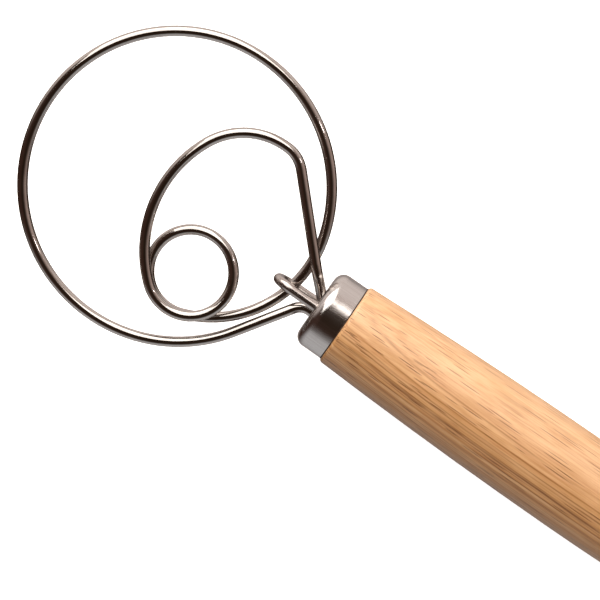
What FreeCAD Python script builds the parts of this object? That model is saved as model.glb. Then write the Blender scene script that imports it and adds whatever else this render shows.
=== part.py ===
import FreeCAD, Part
import math
import os
from FreeCAD import Vector

# A dough whisk: a turned hardwood handle, a polished steel ferrule and a head bent from one
# unbroken steel wire, held back at the ferrule by a U-shaped staple.
# Millimetres. X runs along the handle towards the head, Z stands square to the head's loops.
# The origin is on the handle's axis at its widest place, where the hand closes round it.

# Wood handle
SHOULDER_FROM_GRIP = 84.0   # widest place to the shoulder that carries the ferrule
TIP_FROM_GRIP = 146.4       # widest place to the rounded end
SHOULDER_STEP = 0.9         # the wood stands this far proud of the ferrule
BELLY_SWELL = 1.9           # radius gained from the shoulder to the widest place
TIP_RADIUS = 8.5            # ball at the rounded end
TAPER_CORNER = 28.0         # the straight taper, drawn on, is as wide as the belly this far behind it
SHOULDER_ROUND = 1.2        # eased edge of the wood beside the ferrule

# Steel ferrule: a drawn cup that closes the front of the handle
FERRULE_DIAMETER = 25.2
FERRULE_LENGTH = 10.0
FERRULE_WALL = 0.8
FERRULE_ROUND = 3.4         # outer edge between the side and the flat face
TENON_GAP = 0.1             # glue line between the tenon and the cup

# Head wire, with the places of its loops measured from the ferrule's face and the axis
WIRE_DIAMETER = 3.3
RING_RADIUS = 46.7          # outer ring
RING_NEAR = 7.95            # nearest stretch of the outer ring's circle
RING_OFFSET = -4.9
SMALL_RING_RADIUS = 12.95   # innermost ring
SMALL_RING_REACH = 36.5
SMALL_RING_OFFSET = 13.6
SWEEP_RADIUS = 36.0         # from the small ring back past the ferrule to the outer ring
SWEEP_START_ANGLE = 110.104 # where the sweep leaves the small ring
SWEEP_END_ANGLE = 197.096   # where it runs into the outer ring
SWEEP_BLEND = 6.0           # length on each side of that place over which the bend eases
SIDE_RADIUS = 37.9          # long outer side of the middle loop
SIDE_END_ANGLE = 49.2       # where the side runs into the small ring
TOP_RADIUS = 22.0           # rounded far corner of the middle loop
TOP_END_ANGLE = -25.5
CORNER_RADIUS = 10.0        # bend between the middle loop and its straight leg
CORNER_END_ANGLE = -93.0
CROSSING_GAP = 0.5          # between two stretches of wire where one passes over the other
UNDER_LEVEL = -0.9          # height of the outer ring and the sweep
LEG_RAMP = 10.5             # the straight leg climbs to the upper level over this length
RAMP_LEAD = 18.0            # degrees of small ring kept level beyond the doubled stretch

# The wire's two ends inside the handle
STRAIGHT_LEG_Y = -1.1
STRAIGHT_LEG_BEND = 4.5
STRAIGHT_LEG_BEND_X = -3.4  # the straight leg bends just behind the ferrule's face
RING_LEG_Y = 2.7
RING_LEG_BEND = 5.0
RING_LEG_BEND_X = 0.9       # the ring's leg bends just before the face
EMBEDDED_LENGTH = 24.0      # wire held inside the handle
HOLE_GAP = 0.12             # round each wire in the ferrule's face and in the potting

# Retaining staple
STAPLE_DIAMETER = 3.1
STAPLE_PLAY = 1.75          # room above and below the sweep between the staple's legs
STAPLE_CROWN_GAP = 1.35     # between the sweep and the staple's crown

# Resin potting in the handle's bore
POTTING_WALL = 1.2          # resin outside the staple's legs
POTTING_GAP = 0.1           # resin to wood
POTTING_END = 2.0           # resin behind the wire ends

# Sizes that follow
SHOULDER_X = SHOULDER_FROM_GRIP
FACE_X = SHOULDER_X + FERRULE_LENGTH
FERRULE_RADIUS = FERRULE_DIAMETER / 2
SHOULDER_RADIUS = FERRULE_RADIUS + SHOULDER_STEP
BELLY_RADIUS = SHOULDER_RADIUS + BELLY_SWELL
TENON_RADIUS = FERRULE_RADIUS - FERRULE_WALL - TENON_GAP
TENON_END_X = FACE_X - FERRULE_WALL - TENON_GAP
INNER_ROUND = FERRULE_ROUND - FERRULE_WALL
WIRE_RADIUS = WIRE_DIAMETER / 2
OVER_LEVEL = UNDER_LEVEL + WIRE_DIAMETER + CROSSING_GAP
STAPLE_RADIUS = STAPLE_DIAMETER / 2
STAPLE_HALF = WIRE_RADIUS + STAPLE_PLAY + STAPLE_RADIUS
BORE_RADIUS = STAPLE_HALF + STAPLE_RADIUS + POTTING_WALL + POTTING_GAP
BORE_END_X = FACE_X - EMBEDDED_LENGTH - POTTING_END
AXIS = Vector(1, 0, 0)
SAME_PLACE = 1e-3           # stations nearer than this are one
STRAIGHT = 1e-6             # a stretch that leaves its chord by less is a line


def polar(angle):
    """Unit vector in the plane of the loops, by its angle in degrees."""
    return Vector(math.cos(math.radians(angle)), math.sin(math.radians(angle)), 0)


def direction(vector):
    """Angle of a vector in the plane of the loops, in degrees."""
    return math.degrees(math.atan2(vector.y, vector.x))


class Turn:
    """A circle that the wire follows: to the left for a positive radius, else to the right.

    Laps are the whole rounds that it makes there before it goes on.
    """

    def __init__(self, center, radius, laps=0):
        self.center = center
        self.radius = radius
        self.laps = laps

    def at(self, heading):
        """Point of the turn where the wire heads this way."""
        return self.center - polar(heading + 90) * self.radius


def shared_heading(first, second):
    """Heading of the straight stretch from one turn to the next, or of the point they share."""
    between = second.center - first.center
    step = (second.radius - first.radius) / between.Length
    return direction(between) - math.degrees(math.asin(max(-1.0, min(1.0, step))))


def inside_turn(outer, radius, angle):
    """A smaller turn that touches a larger one from inside, at an angle round the larger."""
    return Turn(outer.center + polar(angle) * (outer.radius - radius), radius)


def around_turn(inner, radius, angle):
    """A larger turn that a smaller one touches from inside, at an angle round the smaller."""
    return Turn(inner.center - polar(angle) * (radius - inner.radius), radius)


def blend_turn(turn):
    """Degrees of a turn that the blend between the sweep and the outer ring takes up."""
    return math.degrees(2 * math.atan(SWEEP_BLEND / turn.radius))


def ease(fraction):
    """Smooth climb from 0 to 1, level at both ends."""
    return fraction * fraction * (3 - 2 * fraction)


def ease_rate(fraction):
    return 6 * fraction * (1 - fraction)


def turn_stations(turn, start, end, low, high, step):
    """Points and tangents along a turn between two headings, climbing from one level to another."""
    count = max(1, math.ceil(abs(end - start) / step))
    length = abs(turn.radius) * math.radians(abs(end - start))
    stations = []
    for i in range(count + 1):
        fraction = i / count
        heading = start + (end - start) * fraction
        point = turn.at(heading) + Vector(0, 0, low + (high - low) * ease(fraction))
        slope = (high - low) * ease_rate(fraction) / length
        tangent = polar(heading) + Vector(0, 0, slope)
        stations.append((point, tangent.normalize()))
    return stations


def halfway(start, tangent, end):
    """Middle point of the arc that leaves a point along a tangent and reaches another point."""
    chord = end - start
    unit = chord / chord.Length
    aside = tangent - unit * tangent.dot(unit)
    half_turn = math.acos(tangent.dot(unit))
    rise = chord.Length / 2 * math.tan(half_turn / 2)
    return (start + end) / 2 + aside.normalize() * rise


def biarc(first, second):
    """Two arcs with one tangent between them, from one station to the next, or a straight line."""
    start, leaving = first
    end, arriving = second
    chord = end - start
    if chord.cross(leaving).Length + chord.cross(arriving).Length < STRAIGHT:
        return [Part.LineSegment(start, end).toShape()]
    spread = 2 * (1 - leaving.dot(arriving))
    if spread < STRAIGHT ** 2:
        reach = chord.dot(chord) / (4 * chord.dot(leaving))
    else:
        lean = chord.dot(leaving + arriving)
        reach = (math.sqrt(lean ** 2 + spread * chord.dot(chord)) - lean) / spread
    middle = (start + end + (leaving - arriving) * reach) / 2
    return [
        Part.Arc(start, halfway(start, leaving, middle), middle).toShape(),
        Part.Arc(middle, halfway(end, arriving * -1, middle), end).toShape(),
    ]


def route_edges(stations):
    """Edges of a wire's centre line through its stations, each met once."""
    kept = [stations[0]]
    for station in stations[1:]:
        if (station[0] - kept[-1][0]).Length > SAME_PLACE:
            kept.append(station)
    edges = []
    for first, second in zip(kept, kept[1:]):
        edges += biarc(first, second)
    return edges


def head_turns():
    """The turns of the head's wire in order, from the straight leg to the ring's leg."""
    face = Vector(FACE_X, 0, 0)
    leg_center = Vector(STRAIGHT_LEG_BEND_X, STRAIGHT_LEG_Y - STRAIGHT_LEG_BEND, 0)
    leg = Turn(face + leg_center, -STRAIGHT_LEG_BEND)
    small_center = Vector(SMALL_RING_REACH, SMALL_RING_OFFSET, 0)
    small = Turn(face + small_center, SMALL_RING_RADIUS, laps=1)
    side = around_turn(small, SIDE_RADIUS, SIDE_END_ANGLE)
    top = inside_turn(side, TOP_RADIUS, TOP_END_ANGLE)
    corner = inside_turn(top, CORNER_RADIUS, CORNER_END_ANGLE)
    ring = Turn(face + Vector(RING_NEAR + RING_RADIUS, RING_OFFSET, 0), RING_RADIUS)
    sweep = around_turn(small, SWEEP_RADIUS, SWEEP_START_ANGLE)
    ring_leg_center = Vector(RING_LEG_BEND_X, RING_LEG_Y + RING_LEG_BEND, 0)
    ring_leg = Turn(face + ring_leg_center, -RING_LEG_BEND)
    return [leg, corner, top, side, small, sweep, ring, ring_leg]


def head_headings(turns):
    """Heading where each turn begins, and where the last ends, counted up along the wire."""
    sweep = turns[5]
    headings = [0.0]
    for first, second in zip(turns, turns[1:]):
        blended = first is sweep
        heading = SWEEP_END_ANGLE + 90 if blended else shared_heading(first, second)
        if first.radius > 0:
            heading += 360 * math.ceil((headings[-1] - heading) / 360)
        headings.append(heading + 360 * first.laps)
    back_along_handle = headings[-1] - headings[-1] % 180
    return headings + [back_along_handle]


def head_stations():
    """Stations of the head's wire from one buried end to the other."""
    turns = head_turns()
    begins = head_headings(turns)
    leg, corner, top, side, small, sweep, ring, ring_leg = turns
    buried = Vector(FACE_X - EMBEDDED_LENGTH, 0, 0)
    flat = 120
    ramp = 45
    stations = [(buried + Vector(0, STRAIGHT_LEG_Y, 0), AXIS)]
    stations += turn_stations(leg, begins[0], begins[1], 0, 0, flat)
    climbed = leg.at(begins[1]) + polar(begins[1]) * LEG_RAMP
    stations.append((climbed + Vector(0, 0, OVER_LEVEL), polar(begins[1])))
    for turn, start, end in zip((corner, top, side), begins[1:], begins[2:]):
        stations += turn_stations(turn, start, end, OVER_LEVEL, OVER_LEVEL, flat)
    fall = begins[5] - 360 + RAMP_LEAD
    fallen = begins[4] + 360 - RAMP_LEAD
    stations += turn_stations(small, begins[4], fall, OVER_LEVEL, OVER_LEVEL, flat)
    stations += turn_stations(small, fall, fallen, OVER_LEVEL, UNDER_LEVEL, ramp)
    stations += turn_stations(small, fallen, begins[5], UNDER_LEVEL, UNDER_LEVEL, flat)
    blend_start = begins[6] - blend_turn(sweep)
    blend_end = begins[6] + blend_turn(ring)
    stations += turn_stations(sweep, begins[5], blend_start, UNDER_LEVEL, UNDER_LEVEL, flat)
    stations += turn_stations(ring, blend_end, begins[7], UNDER_LEVEL, UNDER_LEVEL, flat)
    stations += turn_stations(ring_leg, begins[7], begins[8], 0, 0, flat)
    stations.append((buried + Vector(0, RING_LEG_Y, 0), AXIS * -1))
    return stations


def tube(edges, radius):
    """Round bar along a chain of lines and tangent arcs."""
    path = Part.Wire(edges)
    start = edges[0].valueAt(edges[0].FirstParameter)
    tangent = edges[0].tangentAt(edges[0].FirstParameter)
    section = Part.Wire([Part.makeCircle(radius, start, tangent)])
    return path.makePipeShell([section], True, False)


def least_self_gap(edges, diameter):
    """Smallest clear distance between stretches of wire that lie apart along its length."""
    spacing = 0.8
    apart = 5 * diameter
    points = []
    travelled = []
    run = 0.0
    for edge in edges:
        count = max(2, math.ceil(edge.Length / spacing))
        for i in range(count):
            share = i / count
            span = edge.LastParameter - edge.FirstParameter
            points.append(edge.valueAt(edge.FirstParameter + span * share))
            travelled.append(run + edge.Length * share)
        run += edge.Length
    least = run
    for i, point in enumerate(points):
        for j in range(i):
            if travelled[i] - travelled[j] > apart:
                least = min(least, point.distanceToPoint(points[j]))
    return least - diameter


def make_whisk_wire():
    edges = route_edges(head_stations())
    solid = tube(edges, WIRE_RADIUS)
    length = sum(edge.Length for edge in edges)
    section = math.pi * WIRE_RADIUS ** 2
    bends = sorted(edge.Curve.Radius for edge in edges if hasattr(edge.Curve, "Radius"))
    print("wire length", round(length, 2), "tightest bends", [round(r, 2) for r in bends[:3]])
    print("wire volume over section times length", round(solid.Volume / (section * length), 5))
    print("wire least gap to itself", round(least_self_gap(edges, WIRE_DIAMETER), 3))
    return solid


def staple_edges():
    """Centre line of the U: two legs from inside the handle and a half-round crown."""
    sweep = head_turns()[5]
    pass_x = sweep.center.x - math.sqrt(sweep.radius ** 2 - sweep.center.y ** 2)
    crown_x = pass_x + WIRE_RADIUS + STAPLE_CROWN_GAP + STAPLE_RADIUS
    bend_x = crown_x - STAPLE_HALF
    buried_x = FACE_X - EMBEDDED_LENGTH
    upper = Vector(bend_x, 0, STAPLE_HALF)
    lower = Vector(bend_x, 0, -STAPLE_HALF)
    crown = Part.Arc(upper, Vector(crown_x, 0, 0), lower).toShape()
    upper_leg = Part.LineSegment(Vector(buried_x, 0, STAPLE_HALF), upper).toShape()
    lower_leg = Part.LineSegment(lower, Vector(buried_x, 0, -STAPLE_HALF)).toShape()
    return [upper_leg, crown, lower_leg]


def make_staple():
    return tube(staple_edges(), STAPLE_RADIUS)


def wire_clearance():
    """The space round every wire that passes the ferrule's face and the potting."""
    stations = head_stations()
    first_leg = route_edges(stations[:4])
    last_leg = route_edges(stations[-4:])
    bars = [tube(first_leg, WIRE_RADIUS + HOLE_GAP), tube(last_leg, WIRE_RADIUS + HOLE_GAP)]
    bars.append(tube(staple_edges(), STAPLE_RADIUS + HOLE_GAP))
    return Part.makeCompound(bars)


def revolved(edges):
    """Solid of revolution about the handle's axis from a closed half outline."""
    face = Part.Face(Part.Wire(edges))
    return face.revolve(Vector(0, 0, 0), AXIS, 360)


def lines(*points):
    return [Part.LineSegment(a, b).toShape() for a, b in zip(points, points[1:])]


def make_handle():
    """Turned handle: ball end, straight taper, belly, shoulder, tenon and potting bore."""
    tip = AXIS * -TIP_FROM_GRIP
    ball = tip + AXIS * TIP_RADIUS
    belly = Vector(0, BELLY_RADIUS, 0)
    corner = belly - AXIS * TAPER_CORNER
    to_corner = corner - ball
    lean = direction(to_corner) - math.degrees(math.asin(TIP_RADIUS / to_corner.Length))
    square_to_taper = lean + 90
    ball_end = ball + polar(square_to_taper) * TIP_RADIUS
    ball_middle = ball + polar((square_to_taper + 180) / 2) * TIP_RADIUS
    taper_end = corner - polar(lean) * TAPER_CORNER
    swell_end_x = SHOULDER_X - SHOULDER_ROUND
    swell_end = Vector(swell_end_x, SHOULDER_RADIUS, 0)
    ease_center = swell_end - Vector(0, SHOULDER_ROUND, 0)
    ease_end = Vector(SHOULDER_X, SHOULDER_RADIUS - SHOULDER_ROUND, 0)
    outline = [
        Part.Arc(tip, ball_middle, ball_end).toShape(),
        Part.LineSegment(ball_end, taper_end).toShape(),
        Part.Arc(taper_end, halfway(belly, AXIS * -1, taper_end), belly).toShape(),
        Part.Arc(belly, halfway(belly, AXIS, swell_end), swell_end).toShape(),
        Part.Arc(swell_end, ease_center + polar(45) * SHOULDER_ROUND, ease_end).toShape(),
    ]
    outline += lines(
        ease_end,
        Vector(SHOULDER_X, TENON_RADIUS, 0),
        Vector(TENON_END_X - INNER_ROUND, TENON_RADIUS, 0),
        Vector(TENON_END_X, TENON_RADIUS - INNER_ROUND, 0),
        Vector(TENON_END_X, BORE_RADIUS, 0),
        Vector(BORE_END_X, BORE_RADIUS, 0),
        Vector(BORE_END_X, 0, 0),
        tip,
    )
    return revolved(outline)


def make_ferrule(clearance):
    """Drawn cup: its rim sits on the wood's shoulder and its face is pierced for the wires."""
    inner_radius = FERRULE_RADIUS - FERRULE_WALL
    inner_face_x = FACE_X - FERRULE_WALL
    round_x = FACE_X - FERRULE_ROUND
    round_center = Vector(round_x, FERRULE_RADIUS - FERRULE_ROUND, 0)
    side_end = Vector(round_x, FERRULE_RADIUS, 0)
    face_edge = Vector(FACE_X, round_center.y, 0)
    inner_face_edge = Vector(inner_face_x, round_center.y, 0)
    inner_side_end = Vector(round_x, inner_radius, 0)
    outline = lines(Vector(SHOULDER_X, FERRULE_RADIUS, 0), side_end)
    outline.append(Part.Arc(side_end, round_center + polar(45) * FERRULE_ROUND, face_edge).toShape())
    outline += lines(face_edge, Vector(FACE_X, 0, 0), Vector(inner_face_x, 0, 0), inner_face_edge)
    inner_middle = round_center + polar(45) * INNER_ROUND
    outline.append(Part.Arc(inner_face_edge, inner_middle, inner_side_end).toShape())
    outline += lines(
        inner_side_end,
        Vector(SHOULDER_X, inner_radius, 0),
        Vector(SHOULDER_X, FERRULE_RADIUS, 0),
    )
    return revolved(outline).cut(clearance)


def make_potting(clearance):
    """Cast resin that fills the bore and grips the wire ends."""
    length = FACE_X - FERRULE_WALL - BORE_END_X
    plug = Part.makeCylinder(BORE_RADIUS - POTTING_GAP, length, Vector(BORE_END_X, 0, 0), AXIS)
    return plug.cut(clearance)


def main():
    os.makedirs("parts", exist_ok=True)
    clearance = wire_clearance()
    pieces = {
        "handle": make_handle(),
        "ferrule": make_ferrule(clearance),
        "whisk_wire": make_whisk_wire(),
        "retaining_staple": make_staple(),
        "resin_potting": make_potting(clearance),
    }
    for name, shape in pieces.items():
        print(name, shape.ShapeType, len(shape.Solids), shape.isValid(), round(shape.Volume, 1))
        shape.exportStep("parts/" + name + ".step")


main()
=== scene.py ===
# %% [markdown]
# # A dough whisk
# A dough whisk is a hand tool for stirring stiff dough: a turned wooden handle, a polished
# steel cap at its front, and a flat head of loops bent from one steel wire. All its shapes are
# hard and exact, so they come from the CAD model, and Blender adds the finishes, the light and
# the camera. Everything is in metres, in the same frame as the CAD: X runs along the handle
# towards the loops, and Z stands square to them.

# %% Load the CAD model
import math

import bpy
from mathutils import Matrix, Vector


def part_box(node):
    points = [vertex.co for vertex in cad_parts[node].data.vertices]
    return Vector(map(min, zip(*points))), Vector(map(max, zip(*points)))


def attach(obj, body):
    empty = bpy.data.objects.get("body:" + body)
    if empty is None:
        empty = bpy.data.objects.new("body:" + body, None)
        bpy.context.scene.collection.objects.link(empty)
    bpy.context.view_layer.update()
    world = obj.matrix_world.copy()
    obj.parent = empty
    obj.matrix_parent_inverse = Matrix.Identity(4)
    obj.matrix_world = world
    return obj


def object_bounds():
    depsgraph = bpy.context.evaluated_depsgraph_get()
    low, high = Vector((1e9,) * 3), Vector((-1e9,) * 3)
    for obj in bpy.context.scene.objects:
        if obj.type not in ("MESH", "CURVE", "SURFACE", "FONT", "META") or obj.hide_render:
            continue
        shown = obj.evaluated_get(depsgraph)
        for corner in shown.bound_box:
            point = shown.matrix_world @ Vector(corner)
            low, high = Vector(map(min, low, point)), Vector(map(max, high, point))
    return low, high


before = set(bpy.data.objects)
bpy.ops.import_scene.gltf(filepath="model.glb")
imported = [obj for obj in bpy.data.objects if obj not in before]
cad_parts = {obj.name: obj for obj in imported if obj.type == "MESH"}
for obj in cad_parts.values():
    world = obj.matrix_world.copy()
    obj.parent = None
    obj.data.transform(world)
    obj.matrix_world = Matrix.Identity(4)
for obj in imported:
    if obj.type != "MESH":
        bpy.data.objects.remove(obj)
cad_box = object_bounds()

print("pieces:", sorted(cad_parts))
print("CAD box:", [[round(v, 4) for v in corner] for corner in cad_box])

# %% [markdown]
# ## Colours
# A colour picker shows sRGB hex values, but Blender mixes light in linear values. One function
# turns the first into the second, so that every colour below can be written as a maker would
# read it from a sample.

# %% Hex colours to linear
def linear(code):
    channels = [int(code[i:i + 2], 16) / 255 for i in (0, 2, 4)]
    values = [c / 12.92 if c <= 0.04045 else ((c + 0.055) / 1.055) ** 2.4 for c in channels]
    return (*values, 1.0)


print("mid grey 808080 is", [round(v, 3) for v in linear("808080")])

# %% [markdown]
# ## Adding nodes
# A procedural finish is a small network of nodes. They could be placed by hand in the shader
# editor. In a script, one helper that adds a node, sets its properties and connects its sockets
# keeps the recipe readable: a socket is given either a value or another node's output.

# %% One helper for every node
def add_node(tree, kind, sockets=None, stops=None, **properties):
    node = tree.nodes.new(kind)
    for name, value in properties.items():
        setattr(node, name, value)
    if stops:
        ramp = node.color_ramp.elements
        ramp.remove(ramp[-1])   # a new ramp has two stops, and the other one becomes the first here
        ramp[0].position = stops[0][0]
        ramp[0].color = linear(stops[0][1])
        for place, code in stops[1:]:
            ramp.new(place).color = linear(code)
    for name, value in (sockets or {}).items():
        if isinstance(value, bpy.types.NodeSocket):
            tree.links.new(value, node.inputs[name])
        else:
            node.inputs[name].default_value = value
    return node


def new_finish(name):
    finish = bpy.data.materials.new(name)
    finish.use_nodes = True
    tree = finish.node_tree
    tree.nodes.clear()
    return finish, tree


print("helpers ready:", add_node.__name__, "and", new_finish.__name__)

# %% [markdown]
# ## The handle: rubberwood, turned, sanded and oiled
# Rubberwood is a pale tan hardwood. A handle is turned from a straight-grained square, so the
# growth layers run along it as soft bands, and its open pores show as short dark dashes. One side,
# the one towards the key softbox, is painted paler as a painted highlight. A photo texture would
# have a seam and no end grain. A solid pattern made in space, like the wood itself, is cut
# correctly by every curve of the handle.

# %% Growth layers: long shells round a pith that lies outside the handle
MM = 1000              # object coordinates come in metres, and this turns them into millimetres
LAYER_MM = 1.6
SHELL_STRETCH = 50     # a layer is a shell that is this many times longer than wide
PITH_Y_MM = 30
PITH_Z_MM = -40
DRIFT_MM = 1.8         # the layers waver by up to this much
DRIFT_LENGTH_MM = 110
DRIFT_WIDTH_MM = 12
wood, tree = new_finish("rubberwood_turned_oiled")
place = add_node(tree, "ShaderNodeTexCoord").outputs["Object"]
drift_map = add_node(tree, "ShaderNodeMapping", {
    "Vector": place, "Scale": (MM / DRIFT_LENGTH_MM, MM / DRIFT_WIDTH_MM, MM / DRIFT_WIDTH_MM),
})
drift = add_node(tree, "ShaderNodeTexNoise", {
    "Vector": drift_map.outputs[0], "Scale": 1.0, "Detail": 3.0, "Roughness": 0.5,
})
from_pith = add_node(tree, "ShaderNodeMapping", {
    "Vector": place, "Location": (0, -PITH_Y_MM, -PITH_Z_MM), "Scale": (MM / SHELL_STRETCH, MM, MM),
})
pith_distance = add_node(tree, "ShaderNodeVectorMath", {0: from_pith.outputs[0]}, operation="LENGTH")
drifted = add_node(tree, "ShaderNodeMath", {
    0: drift.outputs["Fac"], 1: DRIFT_MM, 2: pith_distance.outputs["Value"],
}, operation="MULTIPLY_ADD")
layer_count = add_node(tree, "ShaderNodeMath", {0: drifted.outputs[0], 1: LAYER_MM}, operation="DIVIDE")
layers = add_node(tree, "ShaderNodeTexNoise", {
    "W": layer_count.outputs[0], "Scale": 1.0, "Detail": 3.0, "Roughness": 0.6,
}, noise_dimensions="1D")
print("growth layers about", LAYER_MM, "mm thick")

# %% Soft darker patches, where the growth was uneven
PATCH_MM = 4.5
PATCH_LENGTH_MM = 11
patch_map = add_node(tree, "ShaderNodeMapping", {
    "Vector": place, "Scale": (MM / PATCH_LENGTH_MM, MM / PATCH_MM, MM / PATCH_MM),
})
patches = add_node(tree, "ShaderNodeTexNoise", {
    "Vector": patch_map.outputs[0], "Scale": 1.0, "Detail": 3.0, "Roughness": 0.55,
})
patch_strength = add_node(tree, "ShaderNodeMapRange", {
    "Value": patches.outputs["Fac"], "From Min": 0.45, "From Max": 0.75, "To Min": 0.0, "To Max": 0.35,
})
print("patches about", PATCH_MM, "mm wide")

# %% Fibres and longer brown streaks along the handle
FIBRE_MM = 0.36   # real fibres are far finer, drawn coarser so that they show
FIBRE_LENGTH_MM = 18
STREAK_MM = 1.3
STREAK_LENGTH_MM = 38
fibre_map = add_node(tree, "ShaderNodeMapping", {
    "Vector": place, "Scale": (MM / FIBRE_LENGTH_MM, MM / FIBRE_MM, MM / FIBRE_MM),
})
fibres = add_node(tree, "ShaderNodeTexNoise", {
    "Vector": fibre_map.outputs[0], "Scale": 1.0, "Detail": 4.0, "Roughness": 0.65,
})
streak_map = add_node(tree, "ShaderNodeMapping", {
    "Vector": place, "Scale": (MM / STREAK_LENGTH_MM, MM / STREAK_MM, MM / STREAK_MM),
})
streaks = add_node(tree, "ShaderNodeTexNoise", {
    "Vector": streak_map.outputs[0], "Scale": 1.0, "Detail": 3.0, "Roughness": 0.6, "Distortion": 0.2,
})
print("fibres", FIBRE_MM, "mm wide, streaks", STREAK_MM, "mm wide")

# %% Pores: cut vessels, short brown dashes round scattered points
PORE_GAP_MM = 0.52
PORE_LENGTH_MM = 27
PORE_SHARE = 0.25   # a pore's radius in gaps; a real vessel is about 0.2 mm wide, drawn wider to show
PORE_CORE = 0.75    # share of that radius that is fully dark
GROUP_MM = 4        # pores come in groups
GROUP_LENGTH_MM = 15
GROUP_SHIFT = (3, 5, 7)   # another stretch of the noise than the other patterns use
pore_map = add_node(tree, "ShaderNodeMapping", {
    "Vector": place, "Scale": (MM / PORE_LENGTH_MM, MM / PORE_GAP_MM, MM / PORE_GAP_MM),
})
vessels = add_node(tree, "ShaderNodeTexVoronoi", {"Vector": pore_map.outputs[0], "Scale": 1.0})
vessel_dashes = add_node(tree, "ShaderNodeMapRange", {
    "Value": vessels.outputs["Distance"],
    "From Min": PORE_SHARE, "From Max": PORE_CORE * PORE_SHARE, "To Min": 0.0, "To Max": 1.0,
})
group_map = add_node(tree, "ShaderNodeMapping", {
    "Vector": place, "Location": GROUP_SHIFT,
    "Scale": (MM / GROUP_LENGTH_MM, MM / GROUP_MM, MM / GROUP_MM),
})
groups = add_node(tree, "ShaderNodeTexNoise", {
    "Vector": group_map.outputs[0], "Scale": 1.0, "Detail": 1.0, "Roughness": 0.5,
})
pore_groups = add_node(tree, "ShaderNodeMapRange", {
    "Value": groups.outputs["Fac"], "From Min": 0.36, "From Max": 0.46,
})
pores = add_node(tree, "ShaderNodeMath", {
    0: vessel_dashes.outputs[0], 1: pore_groups.outputs[0],
}, operation="MULTIPLY")
print("pores up to", round(2 * PORE_SHARE * PORE_LENGTH_MM, 1), "mm long")

# %% Late growth: thin brown lines along the layers, fainter towards -Y, the side with the painted highlight
LATE_MM = 1.5
LATE_LEVEL = 0.5     # a line is drawn where the noise crosses this level
LATE_HALF = 0.10     # and it has faded out this far from the level
LATE_FROM_MM = -8    # across the handle, the lines gain strength from here
LATE_TO_MM = 10      # to here
late_count = add_node(tree, "ShaderNodeMath", {0: drifted.outputs[0], 1: LATE_MM}, operation="DIVIDE")
late_noise = add_node(tree, "ShaderNodeTexNoise", {
    "W": late_count.outputs[0], "Scale": 1.0, "Detail": 1.0, "Roughness": 0.5,
}, noise_dimensions="1D")
late_offset = add_node(tree, "ShaderNodeMath", {
    0: late_noise.outputs["Fac"], 1: LATE_LEVEL,
}, operation="SUBTRACT")
late_distance = add_node(tree, "ShaderNodeMath", {0: late_offset.outputs[0]}, operation="ABSOLUTE")
late_line = add_node(tree, "ShaderNodeMapRange", {
    "Value": late_distance.outputs[0], "From Min": 0.0, "From Max": LATE_HALF, "To Min": 1.0, "To Max": 0.0,
})
late_gate = add_node(tree, "ShaderNodeMapRange", {
    "Value": streaks.outputs["Fac"], "From Min": 0.36, "From Max": 0.54, "To Min": 0.0, "To Max": 1.0,
})
late_growth = add_node(tree, "ShaderNodeMath", {
    0: late_line.outputs[0], 1: late_gate.outputs[0],
}, operation="MULTIPLY")
across_handle = add_node(tree, "ShaderNodeSeparateXYZ", {0: place}).outputs["Y"]
# the lines are drawn fainter towards -Y, on the side that is painted pale as a highlight
ring_side = add_node(tree, "ShaderNodeMapRange", {
    "Value": across_handle, "From Min": LATE_FROM_MM / MM, "From Max": LATE_TO_MM / MM,
    "To Min": 0.25, "To Max": 1.0,
})
late_strength = add_node(tree, "ShaderNodeMath", {
    0: late_growth.outputs[0], 1: ring_side.outputs[0],
}, operation="MULTIPLY")
print("late growth lines about", LATE_MM, "mm apart")

# %% Wood colours: growth layers, a painted highlight on one side, and the fibres
PAINTED_HIGHLIGHT_FROM_MM = -10     # across the handle, the painted highlight is palest from here outwards
PAINTED_HIGHLIGHT_TO_MM = 2     # and it has ended here
layer_colour = add_node(tree, "ShaderNodeValToRGB", {"Fac": layers.outputs["Fac"]}, stops=[
    (0.30, "BD8B58"), (0.5, "C99A69"), (0.7, "D1A678"),
])
fibre_colour = add_node(tree, "ShaderNodeValToRGB", {"Fac": fibres.outputs["Fac"]}, stops=[
    (0.34, "B8824E"), (0.55, "FFFFFF"),
])
# painted highlight: the -Y side, which faces the key softbox, is mixed towards pale DDB892 to stand in for
# the sheen there
painted_highlight = add_node(tree, "ShaderNodeMapRange", {
    "Value": across_handle, "From Min": PAINTED_HIGHLIGHT_FROM_MM / MM, "From Max": PAINTED_HIGHLIGHT_TO_MM / MM,
    "To Min": 0.6, "To Max": 0.0,
}, interpolation_type="SMOOTHSTEP")
with_painted_highlight = add_node(tree, "ShaderNodeMix", {
    0: painted_highlight.outputs[0], 6: layer_colour.outputs[0], 7: linear("DDB892"),
}, data_type="RGBA")
with_fibres = add_node(tree, "ShaderNodeMix", {
    0: 0.4, 6: with_painted_highlight.outputs[2], 7: fibre_colour.outputs[0],
}, data_type="RGBA", blend_type="MULTIPLY")
print("sapwood ends", PAINTED_HIGHLIGHT_TO_MM, "mm from the axis")

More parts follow.
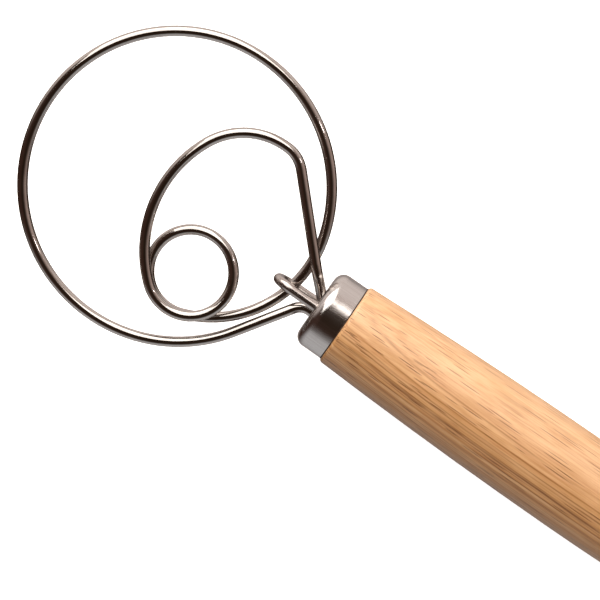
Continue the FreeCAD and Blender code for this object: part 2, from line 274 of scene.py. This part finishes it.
# %% Wood colours: patches, streaks, late growth and pores over them
PALE_PORES_MM = -9   # pores are fainter from here outwards, on the side with the painted highlight
with_patches = add_node(tree, "ShaderNodeMix", {
    0: patch_strength.outputs[0], 6: with_fibres.outputs[2], 7: linear("A9793F"),
}, data_type="RGBA")
streak_strength = add_node(tree, "ShaderNodeMapRange", {
    "Value": streaks.outputs["Fac"],
    "From Min": 0.32, "From Max": 0.46, "To Min": 0.22, "To Max": 0.0,
})
with_streaks = add_node(tree, "ShaderNodeMix", {
    0: streak_strength.outputs[0], 6: with_patches.outputs[2], 7: linear("9E6A34"),
}, data_type="RGBA")
late_colour = add_node(tree, "ShaderNodeValToRGB", {"Fac": late_line.outputs[0]}, stops=[
    (0.2, "B37C42"), (0.6, "87521F"), (1.0, "62350F"),
])
with_late = add_node(tree, "ShaderNodeMix", {
    0: late_strength.outputs[0], 6: with_streaks.outputs[2], 7: late_colour.outputs[0],
}, data_type="RGBA")
# pores too are drawn fainter towards -Y, on the side with the painted highlight
pore_side = add_node(tree, "ShaderNodeMapRange", {
    "Value": across_handle, "From Min": PALE_PORES_MM / MM, "From Max": 0.0, "To Min": 0.75, "To Max": 1.0,
})
pore_strength = add_node(tree, "ShaderNodeMath", {
    0: pores.outputs[0], 1: pore_side.outputs[0],
}, operation="MULTIPLY")
pore_colour = add_node(tree, "ShaderNodeValToRGB", {"Fac": vessel_dashes.outputs[0]}, stops=[
    (0.2, "A66C30"), (0.6, "784212"), (1.0, "522A08"),
])
wood_colour = add_node(tree, "ShaderNodeMix", {
    0: pore_strength.outputs[0], 6: with_late.outputs[2], 7: pore_colour.outputs[0],
}, data_type="RGBA")
print("wood colours mixed with", len(tree.nodes), "nodes so far")

# %% Oiled surface: satin, with pores that dip and fibres that can just be felt
FELT_MM = 0.2   # before the bump's low strength takes most of it away
relief = add_node(tree, "ShaderNodeMath", {
    0: fibres.outputs["Fac"], 1: pores.outputs[0],
}, operation="SUBTRACT")
felt = add_node(tree, "ShaderNodeBump", {
    "Height": relief.outputs[0], "Strength": 0.18, "Distance": FELT_MM / MM,
})
satin = add_node(tree, "ShaderNodeMapRange", {
    "Value": fibres.outputs["Fac"], "To Min": 0.56, "To Max": 0.42,
})
wood_shader = add_node(tree, "ShaderNodeBsdfPrincipled", {
    "Base Color": wood_colour.outputs[2], "Roughness": satin.outputs[0], "IOR": 1.5,
    "Coat Weight": 0.4, "Coat Roughness": 0.4, "Normal": felt.outputs[0],
})
add_node(tree, "ShaderNodeOutputMaterial", {"Surface": wood_shader.outputs[0]})
print("made", wood.name, "with", len(tree.nodes), "nodes")

# %% [markdown]
# ## The loops: stainless steel wire, drawn and polished
# The wire is drawn through a die, bent cold and tumbled to a mirror. What the eye gets is almost
# only reflections: a bright line from a softbox, dark bands from the room. Small waves left by the
# die and the bending make those lines run a little unevenly, so the finish needs a low bump and a
# roughness that changes from place to place, not a perfect mirror.

# %% Polished wire
wire_steel, tree = new_finish("stainless_wire_drawn_polished")
place = add_node(tree, "ShaderNodeTexCoord").outputs["Object"]
WAVE_MM = 7.0
WAVE_HEIGHT_MM = 0.6   # before the bump's low strength takes most of it away
GRIT_MM = 0.5   # tumbling marks, drawn coarser so that they show
die_waves = add_node(tree, "ShaderNodeTexNoise", {
    "Vector": place, "Scale": MM / WAVE_MM, "Detail": 2.0, "Roughness": 0.5,
})
tumbled = add_node(tree, "ShaderNodeTexNoise", {
    "Vector": place, "Scale": MM / GRIT_MM, "Detail": 3.0, "Roughness": 0.6,
})
wire_gloss = add_node(tree, "ShaderNodeMapRange", {
    "Value": tumbled.outputs["Fac"], "From Min": 0.3, "From Max": 0.7, "To Min": 0.05, "To Max": 0.14,
})
wire_tone = add_node(tree, "ShaderNodeValToRGB", {"Fac": die_waves.outputs["Fac"]}, stops=[
    (0.3, "BBB3AD"), (0.7, "C9C3BE"),
])
wire_bump = add_node(tree, "ShaderNodeBump", {
    "Height": die_waves.outputs["Fac"], "Strength": 0.10, "Distance": WAVE_HEIGHT_MM / MM,
})
wire_shader = add_node(tree, "ShaderNodeBsdfPrincipled", {
    "Base Color": wire_tone.outputs[0], "Metallic": 1.0, "Roughness": wire_gloss.outputs[0],
    "Normal": wire_bump.outputs[0],
})
add_node(tree, "ShaderNodeOutputMaterial", {"Surface": wire_shader.outputs[0]})
print("made", wire_steel.name)

# %% [markdown]
# ## The ferrule: stainless steel, deep drawn and buffed
# The cap is pressed from a sheet and buffed along its length, which leaves fine lines and softens
# each reflection a little. Lines could be cut into the mesh, but they are far too fine for that.
# Noise that is stretched along X, the handle's axis, gives them in the roughness and in the bump.

# %% Buffed ferrule
ferrule_steel, tree = new_finish("stainless_sheet_drawn_buffed")
place = add_node(tree, "ShaderNodeTexCoord").outputs["Object"]
BUFF_MM = 0.35        # buffing lines, drawn coarser so that they show
BUFF_LENGTH_MM = 14
BUFF_DEPTH = 0.06     # as a share of the dents
DENT_MM = 5.0
DENT_HEIGHT_MM = 0.6  # before the bump's low strength takes most of it away
buff_map = add_node(tree, "ShaderNodeMapping", {
    "Vector": place, "Scale": (MM / BUFF_LENGTH_MM, MM / BUFF_MM, MM / BUFF_MM),
})
buffed = add_node(tree, "ShaderNodeTexNoise", {
    "Vector": buff_map.outputs[0], "Scale": 1.0, "Detail": 3.0, "Roughness": 0.6,
})
dents = add_node(tree, "ShaderNodeTexNoise", {
    "Vector": place, "Scale": MM / DENT_MM, "Detail": 1.0, "Roughness": 0.4,
})
ferrule_gloss = add_node(tree, "ShaderNodeMapRange", {
    "Value": buffed.outputs["Fac"], "From Min": 0.3, "From Max": 0.7, "To Min": 0.15, "To Max": 0.23,
})
ferrule_tone = add_node(tree, "ShaderNodeValToRGB", {"Fac": buffed.outputs["Fac"]}, stops=[
    (0.3, "C9C3BF"), (0.7, "D4CFCC"),
])
surface = add_node(tree, "ShaderNodeMath", {
    0: buffed.outputs["Fac"], 1: BUFF_DEPTH, 2: dents.outputs["Fac"],
}, operation="MULTIPLY_ADD")
ferrule_bump = add_node(tree, "ShaderNodeBump", {
    "Height": surface.outputs[0], "Strength": 0.2, "Distance": DENT_HEIGHT_MM / MM,
})
ferrule_shader = add_node(tree, "ShaderNodeBsdfPrincipled", {
    "Base Color": ferrule_tone.outputs[0], "Metallic": 1.0, "Roughness": ferrule_gloss.outputs[0],
    "Normal": ferrule_bump.outputs[0],
})
add_node(tree, "ShaderNodeOutputMaterial", {"Surface": ferrule_shader.outputs[0]})
print("made", ferrule_steel.name)

# %% [markdown]
# ## The staple: stainless steel wire, bent and brushed
# The staple is a short length of similar wire, but it was bent hard in a tool and only brushed
# afterwards. It has the colour of the loops without their mirror, so that reflections spread
# into soft grey bands. A higher roughness does that, with fine lines from the brush.

# %% Brushed staple
staple_steel, tree = new_finish("stainless_wire_bent_brushed")
place = add_node(tree, "ShaderNodeTexCoord").outputs["Object"]
BRUSH_MM = 0.3          # brush lines, drawn coarser so that they show
BRUSH_LENGTH_MM = 6
BRUSH_HEIGHT_MM = 0.3   # before the bump's low strength takes most of it away
brush_map = add_node(tree, "ShaderNodeMapping", {
    "Vector": place, "Scale": (MM / BRUSH_LENGTH_MM, MM / BRUSH_MM, MM / BRUSH_MM),
})
brushed = add_node(tree, "ShaderNodeTexNoise", {
    "Vector": brush_map.outputs[0], "Scale": 1.0, "Detail": 3.0, "Roughness": 0.6,
})
staple_gloss = add_node(tree, "ShaderNodeMapRange", {
    "Value": brushed.outputs["Fac"], "From Min": 0.3, "From Max": 0.7, "To Min": 0.18, "To Max": 0.28,
})
staple_tone = add_node(tree, "ShaderNodeValToRGB", {"Fac": brushed.outputs["Fac"]}, stops=[
    (0.3, "B8AFAA"), (0.7, "C8C0BB"),
])
staple_bump = add_node(tree, "ShaderNodeBump", {
    "Height": brushed.outputs["Fac"], "Strength": 0.08, "Distance": BRUSH_HEIGHT_MM / MM,
})
staple_shader = add_node(tree, "ShaderNodeBsdfPrincipled", {
    "Base Color": staple_tone.outputs[0], "Metallic": 1.0, "Roughness": staple_gloss.outputs[0],
    "Normal": staple_bump.outputs[0],
})
add_node(tree, "ShaderNodeOutputMaterial", {"Surface": staple_shader.outputs[0]})
print("made", staple_steel.name)

# %% [markdown]
# ## The potting: cast epoxy resin
# Epoxy poured into the bore holds the wire ends. It sits behind the cap, so little of it is ever
# seen, but it gets its own finish: amber, glossy where it set against air, with faint clouding.
# One soft noise is enough, because clouding changes colour, gloss and relief in the same places.

# %% Cast epoxy
CLOUD_MM = 3.0
CLOUD_HEIGHT_MM = 0.3   # before the bump's low strength takes most of it away
epoxy, tree = new_finish("epoxy_resin_cast")
place = add_node(tree, "ShaderNodeTexCoord").outputs["Object"]
clouds = add_node(tree, "ShaderNodeTexNoise", {"Vector": place, "Scale": MM / CLOUD_MM, "Detail": 2.0})
epoxy_colour = add_node(tree, "ShaderNodeValToRGB", {"Fac": clouds.outputs["Fac"]}, stops=[
    (0.3, "8A6A35"), (0.7, "B08E55"),
])
epoxy_gloss = add_node(tree, "ShaderNodeMapRange", {
    "Value": clouds.outputs["Fac"], "To Min": 0.18, "To Max": 0.35,
})
epoxy_bump = add_node(tree, "ShaderNodeBump", {
    "Height": clouds.outputs["Fac"], "Strength": 0.08, "Distance": CLOUD_HEIGHT_MM / MM,
})
epoxy_shader = add_node(tree, "ShaderNodeBsdfPrincipled", {
    "Base Color": epoxy_colour.outputs[0], "Roughness": epoxy_gloss.outputs[0], "IOR": 1.55,
    "Normal": epoxy_bump.outputs[0],
})
add_node(tree, "ShaderNodeOutputMaterial", {"Surface": epoxy_shader.outputs[0]})
print("made", epoxy.name)

# %% [markdown]
# ## Dressing the pieces
# The five pieces could be modelled again here, but the CAD meshes already have the right shapes,
# so each one keeps its mesh and only its material slot is filled.

# %% Give each piece its finish
finishes = {
    "handle": wood,
    "ferrule": ferrule_steel,
    "whisk_wire": wire_steel,
    "retaining_staple": staple_steel,
    "resin_potting": epoxy,
}
for name, finish in finishes.items():
    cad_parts[name].material_slots[0].material = finish
    print(name, "->", finish.name, len(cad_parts[name].data.polygons), "faces")

# %% [markdown]
# ## The seam between wood and ferrule
# Where the cap meets the wood, glue and shade leave a thin dark line all the way round. Both are
# painted here as one dark bead: dark glue, with painted shade for the corner. A dark stripe could
# be painted into the wood, but it would blur. A thin bead of its own, spun round the handle's
# axis in the corner between the two pieces, stays sharp from every side.

# %% Dark glue, squeezed out and wiped, and painted shade in the seam
WIPE_MM = 1.2
glue_and_painted_shade, tree = new_finish("wood_glue_and_painted_seam_shade")
place = add_node(tree, "ShaderNodeTexCoord").outputs["Object"]
wiped = add_node(tree, "ShaderNodeTexNoise", {"Vector": place, "Scale": MM / WIPE_MM, "Detail": 2.0})
# near-black browns: the glue's own colour, darkened further as painted shade in the corner
glue_and_shade_colour = add_node(tree, "ShaderNodeValToRGB", {"Fac": wiped.outputs["Fac"]}, stops=[
    (0.3, "160D07"), (0.7, "35210F"),
])
glue_gloss = add_node(tree, "ShaderNodeMapRange", {
    "Value": wiped.outputs["Fac"], "To Min": 0.45, "To Max": 0.75,
})
glue_and_shade_shader = add_node(tree, "ShaderNodeBsdfPrincipled", {
    "Base Color": glue_and_shade_colour.outputs[0], "Roughness": glue_gloss.outputs[0], "IOR": 1.5,
})
add_node(tree, "ShaderNodeOutputMaterial", {"Surface": glue_and_shade_shader.outputs[0]})
print("made", glue_and_painted_shade.name)

# %% The bead: a small oval section spun round the axis
SEAM_TURNS = 160
SEAM_OVAL = 10
SEAM_HALF_WIDTH = 0.00030
SEAM_PROUD = 0.00010
ferrule_low, ferrule_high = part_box("ferrule")
seam_x = ferrule_low[0]
seam_radius = ferrule_high[2]
rings = []
for i in range(SEAM_TURNS):
    around = 2 * math.pi * i / SEAM_TURNS
    outward = Vector((0, math.cos(around), math.sin(around)))
    for j in range(SEAM_OVAL):
        oval = 2 * math.pi * j / SEAM_OVAL
        reach = seam_radius + SEAM_PROUD * math.sin(oval)
        rings.append(outward * reach + Vector((seam_x + SEAM_HALF_WIDTH * math.cos(oval), 0, 0)))
quads = []
for i in range(SEAM_TURNS):
    for j in range(SEAM_OVAL):
        here, there = i * SEAM_OVAL, (i + 1) % SEAM_TURNS * SEAM_OVAL
        after = (j + 1) % SEAM_OVAL
        quads.append((here + j, here + after, there + after, there + j))
bead = bpy.data.meshes.new("seam_bead")
bead.from_pydata(rings, [], quads)
bead.shade_smooth()
seam = bpy.data.objects.new("seam_bead", bead)
bpy.context.scene.collection.objects.link(seam)
seam.data.materials.append(glue_and_painted_shade)
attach(seam, "root")
print("seam bead at", round(seam_x * MM, 2), "mm, radius", round(seam_radius * MM, 2), "mm")

# %% [markdown]
# ## The floor
# A product like this is shot on a white acrylic table with a lamp under it, which washes out the
# shadows. The floor is one large sheet under the lowest point of the handle, pale, matt and
# bright by itself. Polished wire would mirror so bright a sheet and lose its outline, so
# the floor is kept out of reflections, and the room around takes its place there.

# %% White acrylic, matt and lit from below
MOTTLES_PER_METRE = 30.0   # faint patches about 33 mm wide
acrylic, tree = new_finish("white_acrylic_matt")
place = add_node(tree, "ShaderNodeTexCoord").outputs["Object"]
mottle = add_node(tree, "ShaderNodeTexNoise", {"Vector": place, "Scale": MOTTLES_PER_METRE, "Detail": 3.0})
acrylic_colour = add_node(tree, "ShaderNodeValToRGB", {"Fac": mottle.outputs["Fac"]}, stops=[
    (0.3, "F6F6F6"), (0.7, "F9F9F9"),
])
acrylic_shader = add_node(tree, "ShaderNodeBsdfPrincipled", {
    "Base Color": acrylic_colour.outputs[0], "Roughness": 0.9, "Specular IOR Level": 0.1,
    "Emission Color": acrylic_colour.outputs[0], "Emission Strength": 0.9,
})
add_node(tree, "ShaderNodeOutputMaterial", {"Surface": acrylic_shader.outputs[0]})
print("made", acrylic.name)

# %% The floor, one large sheet
FLOOR_HALF = 4.0
floor_level = cad_box[0][2]
corners = [(x * FLOOR_HALF, y * FLOOR_HALF, floor_level) for x, y in ((-1, -1), (1, -1), (1, 1), (-1, 1))]
sheet = bpy.data.meshes.new("acrylic_floor")
sheet.from_pydata(corners, [], [(0, 1, 2, 3)])
floor = bpy.data.objects.new("acrylic_floor", sheet)
bpy.context.scene.collection.objects.link(floor)
floor.data.materials.append(acrylic)
floor.visible_glossy = False
floor.visible_diffuse = False
print("floor at", round(floor_level * MM, 2), "mm")

# %% [markdown]
# ## The camera
# The whisk was seen from almost straight above, tipped a little, with the loops at the upper left
# and the handle leaving the picture at the lower right. A long lens from a fair distance keeps
# the loops nearly free of perspective. The camera's axes are built from the tilt and the roll, so
# that both can be read as plain angles.

# %% Camera from a tilt and a roll
TILT = math.radians(7.5)
ROLL = math.radians(34.7)
PICTURE_WIDTH = 0.180      # width of the picture at the loops
CAMERA_DISTANCE = 0.8
SENSOR_MM = 36
aim = Vector((0.09894, 0.00174, 0.0))
along = Vector((1, 0, 0))
across = Vector((0, math.cos(TILT), math.sin(TILT)))
towards_camera = Vector((0, -math.sin(TILT), math.cos(TILT)))
picture_right = -math.cos(ROLL) * along - math.sin(ROLL) * across
picture_up = math.sin(ROLL) * along - math.cos(ROLL) * across

lens = bpy.data.cameras.new("camera")
lens.sensor_width = SENSOR_MM
lens.lens = SENSOR_MM * CAMERA_DISTANCE / PICTURE_WIDTH
camera = bpy.data.objects.new("camera", lens)
turn = Matrix((picture_right, picture_up, towards_camera)).transposed().to_4x4()
camera.matrix_world = Matrix.Translation(aim + towards_camera * CAMERA_DISTANCE) @ turn
bpy.context.scene.collection.objects.link(camera)
bpy.context.scene.camera = camera
print("lens", round(lens.lens, 1), "mm at", CAMERA_DISTANCE, "m")

# %% [markdown]
# ## The light
# Polished wire only shows what surrounds it. One large softbox beyond the top of the picture
# gives every wire its white line, and a small lamp to the right gives the few sparks at the
# bends. Steel needs a dimmer softbox than wood does, so a second one in the same place lights the
# wood and is kept out of the reflections. So is a wide soft ceiling that lifts the floor.

# %% Softboxes, placed by their angle round the picture and away from the camera
def softbox(name, bearing, lean, distance, width, height, brightness, tint):
    light = bpy.data.lights.new(name, "AREA")
    light.shape = "RECTANGLE"
    light.size = width
    light.size_y = height
    light.energy = brightness * math.pi * width * height
    light.color = linear(tint)[:3]
    lamp = bpy.data.objects.new(name, light)
    side = math.cos(bearing) * picture_right + math.sin(bearing) * picture_up
    toward = side * math.sin(lean) + towards_camera * math.cos(lean)
    rising = (towards_camera - toward * toward.dot(towards_camera)).normalized()
    if lean == 0:
        rising = picture_up
    turned = Matrix((rising.cross(toward), rising, toward)).transposed().to_4x4()
    lamp.matrix_world = Matrix.Translation(aim + toward * distance) @ turned
    lamp.visible_camera = False
    bpy.context.scene.collection.objects.link(lamp)
    print(name, "at", [round(v, 2) for v in lamp.matrix_world.translation])
    return lamp


print("softboxes lie round", [round(v, 3) for v in aim])

# %% The four lamps
KEY_BEARING = math.radians(101)
KEY_LEAN = math.radians(48)
KEY_DISTANCE = 1.0
KEY_WIDTH = 1.10
KEY_HEIGHT = 1.22
WOOD_BEHIND = 0.01     # the wood's softbox stands this far behind the one for the steel
LAMP_BEARING = math.radians(21)
LAMP_LEAN = math.radians(45)
LAMP_DISTANCE = 1.0
LAMP_SIZE = 0.07
CEILING_HEIGHT = 1.4
CEILING_SIZE = 1.6
softbox("key_softbox", KEY_BEARING, KEY_LEAN, KEY_DISTANCE,
        KEY_WIDTH, KEY_HEIGHT, brightness=2.4, tint="FFFCF7")
wood_softbox = softbox("wood_softbox", KEY_BEARING, KEY_LEAN, KEY_DISTANCE + WOOD_BEHIND,
                       KEY_WIDTH, KEY_HEIGHT, brightness=2.65, tint="FFFAF4")
wood_softbox.visible_glossy = False
softbox("small_lamp", LAMP_BEARING, LAMP_LEAN, LAMP_DISTANCE,
        LAMP_SIZE, LAMP_SIZE, brightness=14.0, tint="FFFFFF")
ceiling = softbox("soft_ceiling", 0.0, 0.0, CEILING_HEIGHT,
                  CEILING_SIZE, CEILING_SIZE, brightness=1.0, tint="FFEEDD")
ceiling.visible_glossy = False

# %% [markdown]
# ## The room
# What the lamps leave dark is the room. Low down, its far end beyond the top of the picture is a
# warm white and its near end a neutral grey, and to the right stands a warm wall. The left and
# everything above stay a dark brown, a little lighter to the left, and that is what draws the dark
# bands on the wire. Straight down lies the table, a dim grey in the steel's outermost edges.
# A photographed panorama could stand here. A few directions mixed by nodes are enough for a wire
# this thin, and each of them can be changed alone.

# %% Directions in the room
room = bpy.data.worlds.new("room")
bpy.context.scene.world = room
room.use_nodes = True
tree = room.node_tree
tree.nodes.clear()
seen = add_node(tree, "ShaderNodeTexCoord").outputs["Generated"]
height = add_node(tree, "ShaderNodeSeparateXYZ", {0: seen}).outputs["Z"]
level_up = Vector((picture_up.x, picture_up.y, 0)).normalized()
level_right = Vector((picture_right.x, picture_right.y, 0)).normalized()
WALL_BEARING = math.radians(36)
warm_wall = math.cos(WALL_BEARING) * level_right + math.sin(WALL_BEARING) * level_up
to_ends = add_node(tree, "ShaderNodeVectorMath", {0: seen, 1: level_up}, operation="DOT_PRODUCT")
to_wall = add_node(tree, "ShaderNodeVectorMath", {0: seen, 1: warm_wall}, operation="DOT_PRODUCT")
to_right = add_node(tree, "ShaderNodeVectorMath", {0: seen, 1: level_right}, operation="DOT_PRODUCT")
print("warm wall", round(math.degrees(WALL_BEARING)), "degrees round from the picture's right")

# %% The two pale ends
# Directions have length 1, so height is 0 on the level and 1 straight up, and to_ends is 1 straight
# at the far end.
end_size = add_node(tree, "ShaderNodeMath", {0: to_ends.outputs["Value"]}, operation="ABSOLUTE")
ends = add_node(tree, "ShaderNodeMapRange", {
    "Value": end_size.outputs[0], "From Min": 0.15, "From Max": 0.75,
}, interpolation_type="SMOOTHSTEP")
low = add_node(tree, "ShaderNodeMapRange", {
    "Value": height, "From Min": 0.75, "From Max": 0.2,
}, interpolation_type="SMOOTHSTEP")
pale = add_node(tree, "ShaderNodeMath", {0: ends.outputs[0], 1: low.outputs[0]}, operation="MULTIPLY")
which_end = add_node(tree, "ShaderNodeMapRange", {
    "Value": to_ends.outputs["Value"], "From Min": -0.2, "From Max": 0.2,
})
end_colour = add_node(tree, "ShaderNodeMix", {
    0: which_end.outputs[0], 6: linear("C9C9CA"), 7: linear("F4E8E2"),
}, data_type="RGBA")
print("pale ends made")

# %% The warm wall, and the dark brown beside it
wall_share = add_node(tree, "ShaderNodeMapRange", {
    "Value": to_wall.outputs["Value"], "From Min": 0.15, "From Max": 0.95,
}, interpolation_type="SMOOTHSTEP")
wall_foot = add_node(tree, "ShaderNodeMapRange", {
    "Value": height, "From Min": -0.35, "From Max": 0.05,
}, interpolation_type="SMOOTHSTEP")
wall = add_node(tree, "ShaderNodeMath", {
    0: wall_share.outputs[0], 1: wall_foot.outputs[0],
}, operation="MULTIPLY")
left_share = add_node(tree, "ShaderNodeMapRange", {
    "Value": to_right.outputs["Value"], "From Min": -0.1, "From Max": -0.6,
}, interpolation_type="SMOOTHSTEP")
dark_colour = add_node(tree, "ShaderNodeMix", {
    0: left_share.outputs[0], 6: linear("30231A"), 7: linear("432F27"),
}, data_type="RGBA")
wall_colour = add_node(tree, "ShaderNodeMix", {
    0: wall.outputs[0], 6: dark_colour.outputs[2], 7: linear("BFA9A1"),
}, data_type="RGBA")
print("warm wall and dark sides made")

# %% The table straight below, and the whole room
room_colour = add_node(tree, "ShaderNodeMix", {
    0: pale.outputs[0], 6: wall_colour.outputs[2], 7: end_colour.outputs[2],
}, data_type="RGBA")
below = add_node(tree, "ShaderNodeMapRange", {
    "Value": height, "From Min": -0.8, "From Max": -0.95,
}, interpolation_type="SMOOTHSTEP")
with_table = add_node(tree, "ShaderNodeMix", {
    0: below.outputs[0], 6: room_colour.outputs[2], 7: linear("ABA29E"),
}, data_type="RGBA")
backdrop = add_node(tree, "ShaderNodeBackground", {"Color": with_table.outputs[2], "Strength": 1.0})
add_node(tree, "ShaderNodeOutputWorld", {"Surface": backdrop.outputs[0]})
bpy.context.scene.view_settings.view_transform = "Standard"
print("room made with", len(tree.nodes), "nodes")
